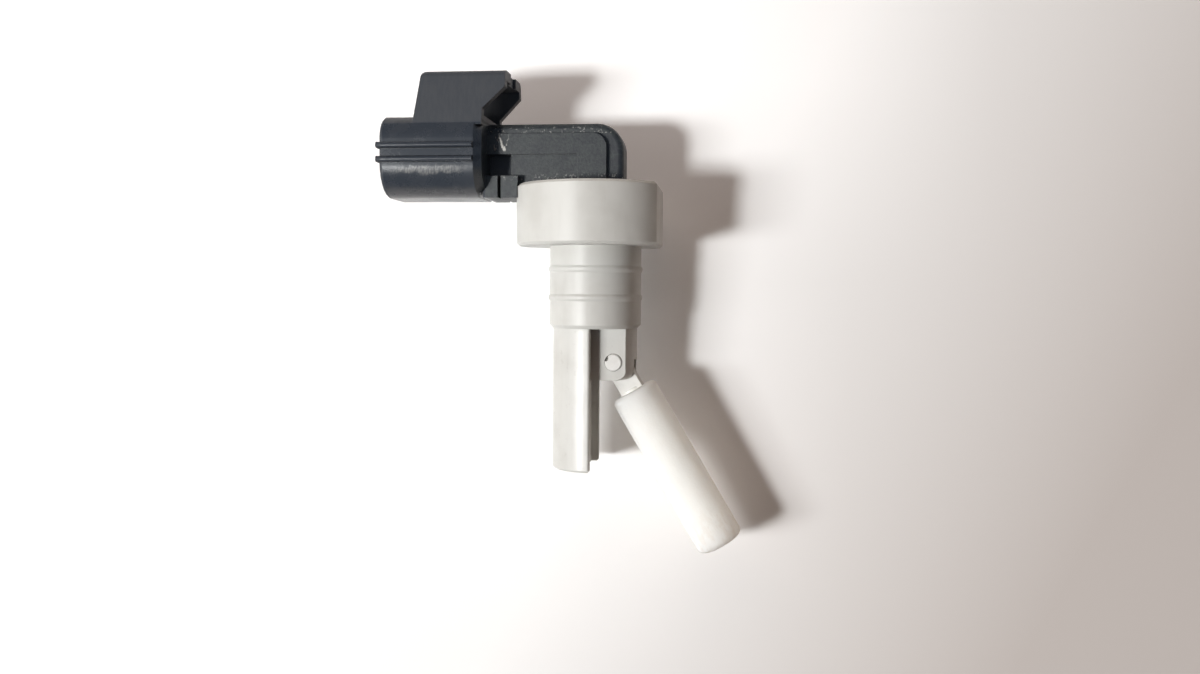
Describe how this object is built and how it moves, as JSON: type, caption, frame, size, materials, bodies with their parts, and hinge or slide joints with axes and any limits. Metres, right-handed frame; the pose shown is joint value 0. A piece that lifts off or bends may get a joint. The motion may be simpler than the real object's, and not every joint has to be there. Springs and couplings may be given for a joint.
{
  "type": "washer fluid level sensor",
  "caption": "Tank level sensor with a float on a hinged arm, a half-round reed stem, a sealing neck and collar, and an elbow connector with a latch bridge.",
  "frame": {"origin": "on the axis of the neck and stem, in the plane of the collar's underside, where the collar seats on the tank's grommet", "axes": "+Z along the neck, out of the tank; the connector opens towards -X and the float swings out towards +X"},
  "size_m": [0.0607, 0.0272, 0.0811],
  "materials": {
    "grey_plastic": "satin",
    "black_plastic": "satin",
    "terminal_metal": "satin",
    "reed_glass": "polished",
    "lead_metal": "satin",
    "white_plastic": "satin",
    "white_foam": "matte",
    "magnet": "matte"
  },
  "bodies": {
    "sensor": {"sensor_body": "grey_plastic", "connector_housing": "black_plastic", "terminal_near": "terminal_metal", "terminal_far": "terminal_metal", "reed_glass": "reed_glass", "reed_lead_upper": "lead_metal", "reed_lead_lower": "lead_metal"},
    "float_lever": {"float_arm": "white_plastic", "float": "white_foam", "magnet": "magnet"}
  },
  "joints": [
    {"name": "float_swing", "type": "hinge", "parent": "sensor", "child": "float_lever", "pos_m": [0.00363, 0, -0.01955], "axis": [0, -1, 0], "range_deg": [-32.3, 29.3]}
  ]
}
